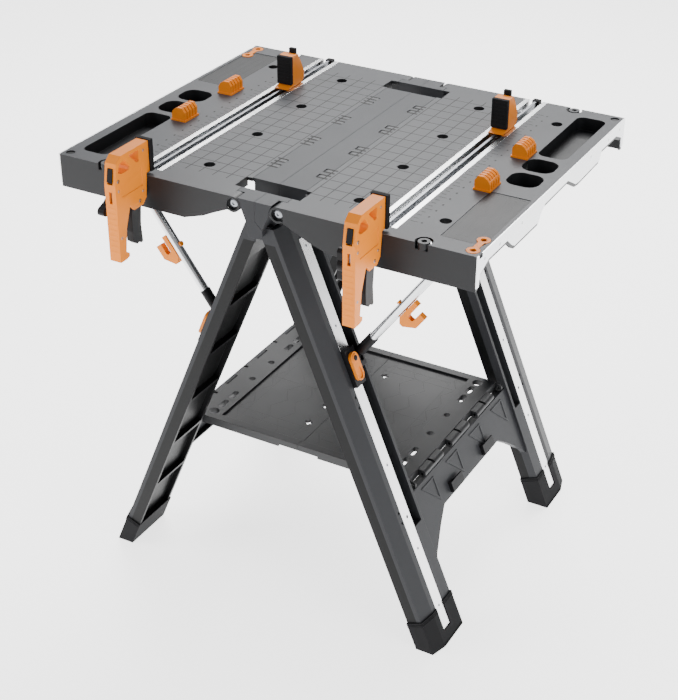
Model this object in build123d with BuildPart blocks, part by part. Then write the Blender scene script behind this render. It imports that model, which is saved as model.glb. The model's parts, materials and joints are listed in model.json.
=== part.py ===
from build123d import *
from math import acos, asin, atan2, cos, degrees, hypot, radians, sin
import os

os.makedirs("parts", exist_ok=True)

# Overall sizes in millimetres, floor at Z = 0, X along the long side of the top
W = 787.0
D = 635.0
H = 813.0
hw = W / 2
hd = D / 2

# Leg frames: folding pivot, lean, and section measured across the leg
pivot_z = 752.0
lean = 22.5
cs = cos(radians(lean))
sn = sin(radians(lean))
leg_in = 1.6
leg_out = 29.6
leg_bulge = 38.1
leg_y0 = 203.0
leg_y1 = 305.5
chan_y0 = 210.0
chan_y1 = 234.0
chan_floor = 18.0
chan_end = -604.0
strip_y0 = 235.6
strip_y1 = 260.8
strip_t = 1.6
leg_top_z = 764.0
knuckle_r = 12.5
pin_r = 5.0
run = 0.08
gap = 0.4

# Top hinge, one on each frame
hinge_x = 42.0
hinge_z = 799.0
nose_r = 14.0
lug_r = 9.0
edge_x = 52.0
skin = 6.0
wall = 4.0
wall_z = 753.0
plate_t = 2.0

# Clamp track in each half of the top
track_x = 220.6
track_w = 44.0
track_gap = 25.0
track_deep = 27.0
track_y0 = -290.0
bar_t = 5.0
bar_h = 20.0

# Shelf between the frames
shelf_x = 236.0
shelf_z = 260.0
shelf_y = 192.0
shelf_mid_z = 256.0
shelf_top = 269.0
shelf_bot = 252.0

# Struts
strut_y = 222.0
strut_r = 8.0
up_x = 325.0
up_z = 776.0
low_n = 34.0
hook_at = 0.47

hole_r = 10.0
dog_y = (-76.2, 76.2)
hole_y = (-228.6, -76.2, 76.2, 228.6)


def leg_xz(n, t):
    return (n * cs - t * sn, pivot_z + n * sn + t * cs)


def box(x0, x1, y0, y1, z0, z1, mode=Mode.ADD):
    xa, xb = sorted((x0, x1))
    ya, yb = sorted((y0, y1))
    with Locations(((xa + xb) / 2, (ya + yb) / 2, (z0 + z1) / 2)):
        Box(xb - xa, yb - ya, z1 - z0, mode=mode)


def prism_y(points, y0, y1, mode=Mode.ADD, round_by=0.0):
    ya, yb = sorted((y0, y1))
    with BuildSketch(Plane.XZ.offset(-yb)) as sk:
        with BuildLine():
            Polyline(*points, close=True)
        make_face()
        if round_by:
            fillet(sk.vertices(), round_by)
    extrude(sk.sketch, amount=yb - ya, mode=mode)


def prism_x(points, x0, x1, mode=Mode.ADD, round_by=0.0):
    xa, xb = sorted((x0, x1))
    with BuildSketch(Plane.YZ.offset(xa)) as sk:
        with BuildLine():
            Polyline(*points, close=True)
        make_face()
        if round_by:
            fillet(sk.vertices(), round_by)
    extrude(sk.sketch, amount=xb - xa, mode=mode)


def cyl_y(x, z, r, y0, y1, mode=Mode.ADD):
    ya, yb = sorted((y0, y1))
    with BuildSketch(Plane.XZ.offset(-yb)) as sk:
        with Locations((x, z)):
            Circle(r)
    extrude(sk.sketch, amount=yb - ya, mode=mode)


def cyl_x(y, z, r, x0, x1, mode=Mode.ADD):
    xa, xb = sorted((x0, x1))
    with BuildSketch(Plane.YZ.offset(xa)) as sk:
        with Locations((y, z)):
            Circle(r)
    extrude(sk.sketch, amount=xb - xa, mode=mode)


def cyl_z(x, y, r, z0, z1, mode=Mode.ADD):
    with BuildSketch(Plane.XY.offset(z0)) as sk:
        with Locations((x, y)):
            Circle(r)
    extrude(sk.sketch, amount=z1 - z0, mode=mode)


def leg_section(t0):
    x, z = leg_xz(0, t0)
    return Plane(origin=(x, 0, z), x_dir=(cs, 0, sn), z_dir=(-sn, 0, cs))


def leg_face(n):
    x, z = leg_xz(n, 0)
    return Plane(origin=(x, 0, z), x_dir=(0, 1, 0), z_dir=(cs, 0, sn))


def leg_slab(n0, n1, y0, y1, t0, t1, mode=Mode.ADD):
    with BuildSketch(leg_face(n0)) as sk:
        with Locations(((y0 + y1) / 2, (t0 + t1) / 2)):
            Rectangle(abs(y1 - y0), t1 - t0)
    extrude(sk.sketch, amount=n1 - n0, mode=mode)


def leg_poly(n0, n1, points, mode=Mode.ADD):
    with BuildSketch(leg_face(n0)) as sk:
        with BuildLine():
            Polyline(*points, close=True)
        make_face()
    extrude(sk.sketch, amount=n1 - n0, mode=mode)


def leg_column(side, t0, t1, grow=0.0, mode=Mode.ADD):
    a = leg_y0 - grow
    b = leg_y1 + grow
    pts = [
        (leg_in - grow, side * a),
        (leg_bulge + grow, side * a),
        (leg_bulge + grow, side * (274.0 + grow)),
        (leg_out + grow, side * b),
        (leg_in - grow, side * b),
    ]
    with BuildSketch(leg_section(t0)) as sk:
        with BuildLine():
            Polyline(*pts, close=True)
        make_face()
    extrude(sk.sketch, amount=t1 - t0, mode=mode)


# Bands along Y where the fingers of the top reach into the frame
finger_bands = []
for yc in (-165.0, -55.0, 55.0, 165.0):
    for k in (-12.0, 12.0):
        finger_bands.append((yc + k - 6.0, yc + k + 6.0))

shelf_n = cs * shelf_x + sn * (shelf_z - pivot_z)
shelf_t = -sn * shelf_x + cs * (shelf_z - pivot_z)
panel_top = shelf_t - 9.4
panel_bot = -626.0
shelf_knuckles = [(-186.0, -150.0), (-74.0, -38.0), (38.0, 74.0), (150.0, 186.0)]


def frame_body(has_outer_knuckle):
    with BuildPart() as fr:
        for sd in (-1, 1):
            leg_column(sd, -850.0, 22.0)
        # channel for the strut and flat seat for the metal strip
        for sd in (-1, 1):
            leg_slab(chan_floor, 60.0, sd * chan_y0, sd * chan_y1, chan_end, 40.0, Mode.SUBTRACT)
            leg_slab(leg_bulge - strip_t, 60.0, sd * strip_y0, sd * strip_y1, -806.0, 40.0, Mode.SUBTRACT)
            # moulded pockets on the hidden inner side, leaving cross ribs
            for k in range(6):
                t1 = -60.0 - k * 118.0
                leg_slab(leg_in - 1, 12.0, sd * 210.0, sd * 299.0, t1 - 110.0, t1, Mode.SUBTRACT)
        box(-60, 500, -400, 400, -300, 3.0, Mode.SUBTRACT)
        # flat cut for the top end of the legs
        box(-80, 120, -400, 400, leg_top_z, 900, Mode.SUBTRACT)
        # strip of top carried by this frame, a beam under it, and the end blocks
        box(0.2, edge_x - 0.6, -238, 238, H - 7.0, H)
        box(0.2, 24.0, -238, 238, 770.0, H - 6.5)
        for sd in (-1, 1):
            box(0.2, 26.0, sd * 206, sd * 238, pivot_z + 4, 772.0)
            box(0.2, 49.0, sd * 233, sd * 238, 790.0, H - 6.5)
            head = [
                (0.2, H), (47.0, H), (47.0, 788.0), (30.0, 779.0), (22.0, leg_top_z),
                (0.2, leg_top_z),
            ]
            prism_y(head, sd * 278, sd * 293.6)
            cyl_y(hinge_x, hinge_z, lug_r, sd * 278, sd * 293.6)
            face = [(0.2, H), (32.0, H), (27.0, 799.0), (22.0, 786.0), (17.5, 775.0), (14.0, leg_top_z),
                    (0.2, leg_top_z)]
            prism_y(face, sd * 293.6, sd * hd)
            box(0.2, 22.0, sd * 280, sd * 304, pivot_z + 6, leg_top_z + 2)
        # clear the half below the pivot from crossing the middle
        box(-60, 0.2, -400, 400, pivot_z, 900, Mode.SUBTRACT)
        # round relief for the turning nose and fingers of the top
        for sd in (-1, 1):
            cyl_y(hinge_x, hinge_z, nose_r + 1.0, sd * 294.0, sd * 330, Mode.SUBTRACT)
        for y0, y1 in finger_bands:
            cyl_y(hinge_x, hinge_z, nose_r + 1.0, y0 - 0.5, y1 + 0.5, Mode.SUBTRACT)
            box(37.0, 60.0, y0 - 0.5, y1 + 0.5, hinge_z, H + 5, Mode.SUBTRACT)
        # seam lobe at the front plane of the heads
        lobe = [(-0.2, 778.0), (13.8, leg_top_z), (13.8, 754.0), (6.0, 747.0), (-0.2, 747.0)]
        for sd in (-1, 1):
            y0 = sd * (leg_y1 + 0.4)
            if has_outer_knuckle:
                flip = [(-x, z) for x, z in lobe]
                prism_y(flip, y0, sd * hd)
                prism_y([(-0.4, 764.0), (16.0, 764.0), (12.0, 747.0), (-0.4, 747.0)], y0, sd * hd)
            else:
                grown = [(-1.0, 778.8), (-0.2, 778.8), (14.4, 764.2), (14.4, 700.0), (-1.0, 700.0)]
                prism_y(grown, y0 - sd * 0.6, sd * (hd + 1), Mode.SUBTRACT)
        # knuckles round the folding pivot, interleaved between the two frames
        own = (284.0, 304.0) if has_outer_knuckle else (262.0, 282.0)
        other = (261.6, 282.4) if has_outer_knuckle else (283.6, 304.4)
        for sd in (-1, 1):
            cyl_y(0, pivot_z, knuckle_r + 0.6, sd * other[0], sd * other[1], Mode.SUBTRACT)
            cyl_y(0, pivot_z, knuckle_r, sd * own[0], sd * own[1])
            web = [(0, pivot_z), leg_xz(0.6, -11.0), leg_xz(0.6, -22.0), (24.0, pivot_z - 24.0),
                   (24.0, pivot_z + 8), (0, pivot_z + 12)]
            prism_y(web, sd * own[0], sd * own[1])
            bore = pin_r if has_outer_knuckle else pin_r + run
            cyl_y(0, pivot_z, bore, sd * 258, sd * 306, Mode.SUBTRACT)
            cyl_y(hinge_x, hinge_z, pin_r + 1.0, sd * 281, sd * 294.5, Mode.SUBTRACT)
        # cross panel low between the legs
        outline = [
            (-206.0, panel_top), (206.0, panel_top), (206.0, -706.0), (192.0, -686.0),
            (150.0, -649.0), (119.0, panel_bot), (-119.0, panel_bot), (-150.0, -649.0),
            (-192.0, -686.0), (-206.0, -706.0),
        ]
        leg_poly(23.0, 33.0, outline)
        # raised triangles along the panel
        for k in range(4):
            yc = -150.0 + 100.0 * k
            tri = [(yc - 22, panel_top - 10), (yc + 26, panel_top - 10), (yc + 26, panel_bot + 12)]
            leg_poly(32.5, 34.2, tri)
            inner = [(yc - 13, panel_top - 13), (yc + 23, panel_top - 13), (yc + 23, panel_bot + 20)]
            leg_poly(33.0, 36.0, inner, Mode.SUBTRACT)
        # foam-back webs at each end of the panel
        for sd in (-1, 1):
            leg_slab(14.0, 33.0, sd * 200, sd * 206, -700.0, panel_top)
        leg_slab(12.0, 24.0, -206, 206, panel_bot, panel_bot + 5)
        leg_slab(12.0, 24.0, -206, 206, panel_top - 5, panel_top)
        if has_outer_knuckle:
            for y0, y1 in shelf_knuckles:
                leg_slab(shelf_n - 6.0, shelf_n + 3.2, y0, y1, panel_top - 4, shelf_t)
                cyl_y(shelf_x, shelf_z, 7.5, y0, y1)
            cyl_y(shelf_x, shelf_z, 3.0, -188, 188, Mode.SUBTRACT)
        # narrow pin holes down the ridge beside the strip
        for sd in (-1, 1):
            for t in (-330.0, -350.0, -560.0, -580.0):
                leg_slab(leg_bulge - 2.5, 60, sd * 264, sd * 268, t, t + 5, Mode.SUBTRACT)
    return fr.part


def strips_body():
    with BuildPart() as st:
        for sd in (-1, 1):
            leg_slab(leg_bulge - strip_t, leg_bulge + 0.1, sd * (strip_y0 + 0.1), sd * (strip_y1 - 0.1),
                     -805.0, -36.0)
            for t in (-576.0,):
                x, z = leg_xz(0, t)
                with BuildSketch(leg_face(leg_bulge - 5)):
                    with Locations((sd * 246.0, t)):
                        Circle(3.0)
                extrude(amount=12, mode=Mode.SUBTRACT)
        box(200, 500, -400, 400, -300, 17.0, Mode.SUBTRACT)
    return st.part


def shoes_body():
    with BuildPart() as sh:
        for sd in (-1, 1):
            leg_column(sd, -850.0, -760.0, 1.8)
            for k in (0, 1, 2):
                leg_column(sd, -768.0 + k * 3.4, -766.2 + k * 3.4, 2.6)
        box(200, 500, -400, 400, -300, 0.0, Mode.SUBTRACT)
        for sd in (-1, 1):
            leg_column(sd, -900.0, -700.0, 0.0, Mode.SUBTRACT)
            leg_slab(-10.0, 0.3, sd * 190, sd * 320, -900.0, -700.0, Mode.SUBTRACT)
        for sd in (-1, 1):
            with BuildSketch(Plane.XY) as sole:
                with BuildLine():
                    y0 = sd * leg_y0
                    y1 = sd * leg_y1
                    Polyline((318.0, y0), (355.0, y0), (355.0, sd * 274), (344.0, y1), (318.0, y1), close=True)
                make_face()
            extrude(amount=3.0)
            leg_slab(leg_bulge - 3, leg_bulge + 6, sd * (strip_y0 - 0.2), sd * (strip_y1 + 0.2),
                     -806.0, -700.0, Mode.SUBTRACT)
    return sh.part


# Half tops
wing_side = [
    (-hd, wall_z), (-309.5, wall_z), (-307.0, 773.0), (-276.0, 786.5), (-206.0, 786.5),
    (-187.0, 771.0), (-176.0, 765.0), (-78.0, 765.0), (-72.0, 776.0), (-54.0, 788.0), (45.0, 790.0),
    (83.0, 769.0), (100.0, 767.0), (196.0, 770.0), (204.0, 786.5), (276.0, 786.5), (307.0, 773.0),
    (309.5, wall_z), (hd, wall_z),
]


def half_top(w):
    s = 1.0
    with BuildPart() as ht:
        box(s * edge_x, s * (hw - plate_t), -hd, hd, H - skin, H)
        # hinge edge: opening for timber, head notch, and relief beside the noses
        for sd in (-1, 1):
            box(s * 40, s * 62, sd * 240, sd * 278, 700, 900, Mode.SUBTRACT)
            box(s * 47.8, s * 60, sd * 278, sd * 294.2, H - skin, H)
            box(s * hinge_x, s * 66, sd * 294.5, sd * hd, hinge_z, H)
            cyl_y(s * hinge_x, hinge_z, nose_r, sd * 294.5, sd * hd)
            skirt = [
                (s * hinge_x, H), (s * (hw - plate_t), H), (s * (hw - plate_t), wall_z), (s * 138.0, wall_z),
                (s * 100.0, 765.0), (s * 80.0, 775.0), (s * 52.0, 787.5), (s * hinge_x, hinge_z - nose_r),
            ]
            prism_y(skirt, sd * (hd - wall), sd * hd)
            box(s * 62, s * 65, sd * 238, sd * 280, 797, H - 5)
        for y0, y1 in finger_bands:
            box(s * hinge_x, s * 58, y0, y1, hinge_z, H)
            cyl_y(s * hinge_x, hinge_z, nose_r, y0, y1)
        # outer side wall with the cut-outs that pass the folded legs
        xo = s * (hw - plate_t)
        prism_x([(w * y, z) for y, z in wing_side] + [(w * hd, H), (-w * hd, H)], xo - s * 3.5, xo)
        # shallow ribs under the skin
        for xr in (90.0, 150.0, 182.0, 262.0, 306.0):
            box(s * xr, s * (xr + 3), -hd + 1, hd - 1, 797.0, H - 5)
        for yr in (-300.0, -200.0, -100.0, 0.0, 100.0, 200.0, 297.0):
            box(s * 66, s * 390, yr, yr + 3, 797.0, H - 5)
        # housing of the clamp track
        x0 = s * (track_x - track_w / 2 - 3)
        x1 = s * (track_x + track_w / 2 + 3)
        box(x0, x1, -hd + 1, hd - 1, H - track_deep - 4.5, H - 5)
        # bosses for the bench dogs
        for xh in (144.0, 297.0):
            for yh in hole_y:
                cyl_z(s * xh, yh, hole_r + 4, 793.0, H - 5)
        # trays moulded into the wing
        for y0, y1, depth in ((83.0, 284.0, 24.0), (14.0, 68.0, 24.0), (-51.0, 3.0, 24.0)):
            box(s * 315.5, s * 374.5, w * (y0 - 2.5), w * (y1 + 2.5), H - depth - 2.5, H - 5)
        for y0, y1, depth in ((83.0, 284.0, 24.0), (14.0, 68.0, 24.0), (-51.0, 3.0, 24.0)):
            xa = 318.0 if y1 > 200 else 314.5
            with BuildSketch(Plane.XY.offset(H - depth)) as tr:
                with Locations((s * (xa + 372.0) / 2, w * (y0 + y1) / 2)):
                    RectangleRounded(372.0 - xa, y1 - y0, 14.0 if y1 > 200 else 20.0)
            extrude(amount=60, mode=Mode.SUBTRACT)
        # dog holes
        for xh in (144.0, 297.0):
            for yh in hole_y:
                cyl_z(s * xh, yh, hole_r, 780.0, 830.0, Mode.SUBTRACT)
        # track channel and its wide lip, open at the far wall
        half = track_w / 2 + 0.15
        box(s * (track_x - half), s * (track_x + half), track_y0 - 0.3, hd + 5, H - 3.15, H + 5, Mode.SUBTRACT)
        half = track_gap / 2 + 2.15
        box(s * (track_x - half), s * (track_x + half), track_y0 - 0.3, hd + 5, H - track_deep - 2.15, H + 5,
            Mode.SUBTRACT)
        half = 6.0
        box(s * (track_x - half), s * (track_x + half), -hd - 5, track_y0, H - bar_h - 3, H + 5, Mode.SUBTRACT)
        # sockets that join tables together, and the recesses in the wing
        for yc, sy in ((-308.0, -1.0), (308.0, 1.0)):
            with BuildSketch(Plane.XY.offset(H - 12)):
                with Locations((s * 299.0, yc)):
                    Circle(14.5)
                    Circle(10.0, mode=Mode.SUBTRACT)
            extrude(amount=30, mode=Mode.SUBTRACT)
            cyl_z(s * 299.0, yc, 4.5, H - 12, H + 5, Mode.SUBTRACT)
        cyl_z(s * 379.0, w * 303.0, 8.0, H - 2.0, H + 5, Mode.SUBTRACT)
        with BuildSketch(Plane.XY.offset(H - 0.8)) as lb:
            with Locations((s * 348.5, -w * 186.5)):
                RectangleRounded(73.0, 187.0, 3.0)
        extrude(amount=10, mode=Mode.SUBTRACT)
        with BuildSketch(Plane.XY.offset(H - 3.0)) as lk:
            with Locations((s * 377.0, -w * 261.0), (s * 377.0, -w * 300.0)):
                Circle(11.4)
            with Locations((s * 377.0, -w * 280.5)):
                Rectangle(11.0, 39.0)
        extrude(amount=10, mode=Mode.SUBTRACT)
        # bore of the hinge and the recess round its pin at the outer end
        for sd in (-1, 1):
            cyl_y(s * hinge_x, hinge_z, pin_r + 1.0 + run, sd * 294, sd * 340, Mode.SUBTRACT)
            cyl_y(s * hinge_x, hinge_z, 10.5, sd * 312.5, sd * 340, Mode.SUBTRACT)
            rec = [(s * 43.0, hinge_z), (s * 53.0, hinge_z), (s * 53.0, 789.5), (s * 48.0, 790.0)]
            prism_y(rec, sd * 313.5, sd * 340, Mode.SUBTRACT)
        # ears that carry the upper ends of the struts
        for sd in (-1, 1):
            for dy in (-6.5, 6.5):
                yc = sd * strut_y + dy
                top = 788.0 if w * sd > 0 else H - 5
                ear = [(s * (up_x - 9), top), (s * (up_x + 12), top), (s * (up_x + 7), up_z - 6),
                       (s * (up_x - 7), up_z - 6)]
                prism_y(ear, yc - 1.9, yc + 1.9)
            cyl_y(s * up_x, up_z, 3.0, sd * strut_y - 9, sd * strut_y + 9, Mode.SUBTRACT)
            box(s * (up_x - 9), s * (up_x + 9), sd * strut_y - 4.6, sd * strut_y + 4.6, 760, up_z + 9.2,
                Mode.SUBTRACT)
    return ht.part


def edge_plate(s):
    with BuildPart() as ep:
        xo = s * hw
        low = [(s * y, max(z + 6.0, 757.0)) for y, z in wing_side]
        prism_x(low + [(s * hd, H), (-s * hd, H)], xo - s * (plate_t - 0.05), xo)
        box(xo + s * 5, xo - s * 20, -s * 312, -s * 300, H - 6.0, H + 2, Mode.SUBTRACT)
    return ep.part


def track(s):
    with BuildPart() as tk:
        y1 = hd
        half = track_w / 2
        g = track_gap / 2
        box(s * (track_x - half), s * (track_x - g), track_y0, y1, H - 3.0, H)
        box(s * (track_x + g), s * (track_x + half), track_y0, y1, H - 3.0, H)
        box(s * (track_x - g - 2), s * (track_x - g), track_y0, y1, H - track_deep, H)
        box(s * (track_x + g), s * (track_x + g + 2), track_y0, y1, H - track_deep, H)
        box(s * (track_x - g - 2), s * (track_x + g + 2), track_y0, y1, H - track_deep - 2, H - track_deep)
    return tk.part


# Shelf halves
def shelf_half(s):
    with BuildPart() as sf:
        x_end = shelf_x - 8.5
        box(s * 0.3, s * x_end, -shelf_y, shelf_y, shelf_bot, shelf_top)
        # recessed floor, then the hollow below it
        with BuildSketch(Plane.XY.offset(shelf_top - 5)) as fl:
            with Locations((s * 88.0, 0)):
                Rectangle(178.0, 2 * shelf_y - 34)
        extrude(amount=20, mode=Mode.SUBTRACT)
        box(s * 6, s * 220, -shelf_y + 4, shelf_y - 4, shelf_bot - 5, shelf_top - 9.5, Mode.SUBTRACT)
        for yr in (-120.0, -60.0, 0.0, 60.0, 120.0):
            box(s * 4, s * 222, yr - 1.5, yr + 1.5, shelf_bot + 1, shelf_top - 8)
        # slots and holes along the hinged end
        for yc in (-140.0, -104.0, 104.0, 140.0):
            with BuildSketch(Plane.XY.offset(shelf_bot - 5)):
                with Locations((s * 196.0, yc)):
                    RectangleRounded(11.0, 27.0, 5.0)
            extrude(amount=40, mode=Mode.SUBTRACT)
        for yc in (-36.0, 36.0):
            cyl_z(s * 196.0, yc, 6.5, shelf_bot - 5, shelf_top + 5, Mode.SUBTRACT)
        for yc in (-170.0, 170.0):
            cyl_z(s * 198.0, yc, 10.0, shelf_bot - 5, shelf_top + 5, Mode.SUBTRACT)
        # keyhole slots near the seam
        for yc in (-88.0, -22.0, 44.0, 110.0):
            with BuildSketch(Plane.XY.offset(shelf_bot - 5)):
                with Locations((s * 24.0, s * yc)):
                    Rectangle(16.0, 6.0)
                with Locations((s * 24.0, s * yc)):
                    Rectangle(5.0, 14.0)
            extrude(amount=40, mode=Mode.SUBTRACT)
        # barrel of the hinge at the end, broken up by the mating knuckles
        cyl_y(s * shelf_x, shelf_z, 7.5, -shelf_y + 2, shelf_y - 2)
        box(s * (x_end - 3), s * shelf_x, -shelf_y + 2, shelf_y - 2, shelf_z - 5.0, shelf_z + 7.5)
        for y0, y1 in shelf_knuckles:
            box(s * (x_end), s * (shelf_x + 12), y0 - 0.5, y1 + 0.5, shelf_bot - 8, shelf_top + 8, Mode.SUBTRACT)
        for k in range(-3, 4):
            box(s * (x_end), s * (shelf_x + 12), k * 56 - 3, k * 56 + 3, shelf_z + 3.5, shelf_top + 8, Mode.SUBTRACT)
        cyl_y(s * shelf_x, shelf_z, 3.0 + run, -200, 200, Mode.SUBTRACT)
        # relief under the seam so that the two halves close like a tent
        box(0, s * 42, -200, 200, shelf_bot - 5, shelf_mid_z + 0.5, Mode.SUBTRACT)
        # middle hinge, alternate knuckles
        bands = [(-180.0, -140.0), (-60.0, -20.0), (60.0, 100.0)]
        if s > 0:
            bands = [(-139.5, -99.5), (-19.5, 20.5), (100.5, 140.5)]
        taken = [(-180.0, -140.0), (-60.0, -20.0), (60.0, 100.0)]
        if s < 0:
            taken = [(-139.5, -99.5), (-19.5, 20.5), (100.5, 140.5)]
        for y0, y1 in taken:
            cyl_y(0, shelf_mid_z, 4.6, y0 - 0.4, y1 + 0.4, Mode.SUBTRACT)
        for y0, y1 in bands:
            cyl_y(0, shelf_mid_z, 4.0, y0, y1)
            box(0, s * 6, y0, y1, shelf_mid_z, shelf_mid_z + 3)
        bore = 1.5 if s < 0 else 1.5 + run
        cyl_y(0, shelf_mid_z, bore, -182, 142, Mode.SUBTRACT)
    return sf.part


def clips(s):
    with BuildPart() as cl:
        for yc in (-66.0, 72.0):
            leg_slab(33.0, 38.0, yc - 22, yc + 22, panel_bot + 6, panel_bot + 11.5)
            leg_slab(38.0, 41.0, yc - 22, yc + 22, panel_bot + 6, panel_bot + 26)
            leg_slab(33.0, 41.0, yc - 22, yc - 16, panel_bot + 6, panel_bot + 26)
    return cl.part


# Struts: directions worked out in the leg's own frame
def to_leg(x, z):
    return (cs * x + sn * (z - pivot_z), -sn * x + cs * (z - pivot_z))


hn, ht_ = to_leg(hinge_x, hinge_z)
un, ut = to_leg(up_x, up_z)
low_z = 515.8
low_x = (low_n - sn * (low_z - pivot_z)) / cs
strut_len = hypot(up_x - low_x, up_z - low_z)
ux = (up_x - low_x) / strut_len
uz = (up_z - low_z) / strut_len


def along(d, off=0.0):
    return (low_x + ux * d - uz * off, low_z + uz * d + ux * off)


def strut_prism(points, y0, y1, mode=Mode.ADD):
    prism_y([along(d, o) for d, o in points], y0, y1, mode)


def across(d, off, r, depth, yc, mode=Mode.ADD):
    x0, z0 = along(d, off)
    with BuildSketch(Plane(origin=(x0, yc, z0), x_dir=(0, 1, 0), z_dir=(-uz, 0, ux))) as sk:
        Circle(r)
    extrude(sk.sketch, amount=depth, mode=mode)


def strut_tube(sd):
    yc = sd * strut_y
    x0, z0 = along(34.0)
    with BuildPart() as tb:
        with BuildSketch(Plane(origin=(x0, yc, z0), x_dir=(0, 1, 0), z_dir=(ux, 0, uz))):
            Circle(strut_r)
        extrude(amount=strut_len - 58.0)
        if sd < 0:
            across(strut_len * hook_at, -12.0, 2.5 + run, 24.0, yc, Mode.SUBTRACT)
    return tb.part


def strut_ends(sd):
    yc = sd * strut_y
    with BuildPart() as en:
        # lower fork end, a flat tongue on the pivot and a socket on the tube
        cyl_y(low_x, low_z, 7.0, yc - 4.0, yc + 4.0)
        strut_prism([(0, -6.5), (22, -6.5), (22, 6.5), (0, 6.5)], yc - 4.0, yc + 4.0)
        x0, z0 = along(18.0)
        with BuildSketch(Plane(origin=(x0, yc, z0), x_dir=(0, 1, 0), z_dir=(ux, 0, uz))):
            Circle(strut_r + 1.4)
        extrude(amount=42.0)
        x0, z0 = along(34.0)
        with BuildSketch(Plane(origin=(x0, yc, z0), x_dir=(0, 1, 0), z_dir=(ux, 0, uz))):
            Circle(strut_r)
        extrude(amount=60.0, mode=Mode.SUBTRACT)
        cyl_y(low_x, low_z, 2.6, yc - 20, yc + 20, Mode.SUBTRACT)
        cyl_y(low_x, low_z, 2.6, yc - 9.0, yc + 9.0)
        # upper tongue between the ears, with its pin
        cyl_y(up_x, up_z, 7.0, yc - 4.0, yc + 4.0)
        e = strut_len
        strut_prism([(e - 24, -6.0), (e, -6.0), (e, 6.0), (e - 24, 6.0)], yc - 4.0, yc + 4.0)
        cyl_y(up_x, up_z, 3.0 - run, yc - 8.4, yc + 8.4)
    return en.part


def hook(sd):
    yc = sd * strut_y
    d = strut_len * hook_at
    with BuildPart() as hk:
        jay = [(d - 18, -8.4), (d + 26, -8.4), (d + 26, -18.0), (d - 4, -18.0), (d - 6, -20.0), (d - 6, -27.0),
               (d - 4, -29.0), (d + 16, -29.0), (d + 16, -41.0), (d - 10, -41.0), (d - 28, -23.0), (d - 28, -16.0)]
        strut_prism(jay, yc - 5.5, yc + 5.5)
        # pin through the tube, with a flat head on the far side
        across(d, -12.0, 2.5, 23.0, yc)
        across(d, 8.3, 4.5, 3.0, yc)
    return hk.part


low_t = to_leg(low_x, low_z)[1]


def carriage(sd):
    yc = sd * strut_y
    a = low_t
    with BuildPart() as ca:
        # block on the strip, and two cheeks either side of the strut's tongue
        leg_slab(leg_bulge + 0.5, leg_bulge + 9.0, sd * 233.0, sd * 262.5, a - 42.0, a + 26.0)
        for dy in (-6.6, 6.6):
            leg_slab(low_n - 6.0, leg_bulge + 9.0, yc + dy - 2.1, yc + dy + 2.1, a - 18.0, a + 12.0)
        leg_slab(low_n - 6.0, leg_bulge + 9.0, yc - 8.0, yc + 8.0, a - 18.0, a - 9.5)
        leg_slab(leg_bulge + 0.5, leg_bulge + 9.0, yc + sd * 6.0, yc + sd * 14.0, a - 12.0, a + 12.0)
        cyl_y(low_x, low_z, 2.6 + run, yc - 9.4, yc + 9.4, Mode.SUBTRACT)
        # neck that keys behind the strip's edge
        lx, lz = leg_xz(leg_bulge + 9.0, a + 10.0)
        with BuildSketch(leg_face(leg_bulge + 4.0)):
            with Locations((sd * 249.0, a + 8.0)):
                Circle(4.0 + run)
        extrude(amount=20.0, mode=Mode.SUBTRACT)
    return ca.part


def lever(sd):
    a = low_t
    with BuildPart() as lv:
        with BuildSketch(leg_face(leg_bulge + 9.3)) as so:
            with Locations((sd * 249.0, a - 7.0)):
                SlotOverall(52.0, 22.0, rotation=90)
        extrude(amount=6.0)
        with BuildSketch(leg_face(leg_bulge + 13.3)) as so:
            with Locations((sd * 249.0, a - 20.0)):
                SlotOverall(20.0, 14.0, rotation=90)
        extrude(amount=10.0, mode=Mode.SUBTRACT)
        with BuildSketch(leg_face(leg_bulge + 4.3)):
            with Locations((sd * 249.0, a + 8.0)):
                Circle(4.0)
        extrude(amount=6.0)
        with BuildSketch(leg_face(leg_bulge + 15.0)):
            with Locations((sd * 249.0, a + 8.0)):
                Circle(7.5)
        extrude(amount=1.6)
    return lv.part


# Clamps: side profiles as (Y, Z)
head_w = 11.0
front = hd + gap
knob_y = -372.0
knob_z = 775.0
arm_top = [(-309.0, 872.0), (-385.0, 872.0), (-397.0, 862.0), (-403.0, 826.0), (-403.0, 687.5), (-386.0, 687.5),
           (-378.0, 690.0), (-378.0, 696.0), (-386.0, 701.0), (-381.0, 742.0), (-368.0, 778.0), (-357.0, 766.0),
           (-332.0, 766.0), (-322.0, 776.0), (-front, 811.0), (-front, 817.5), (-309.0, 817.5)]


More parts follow.
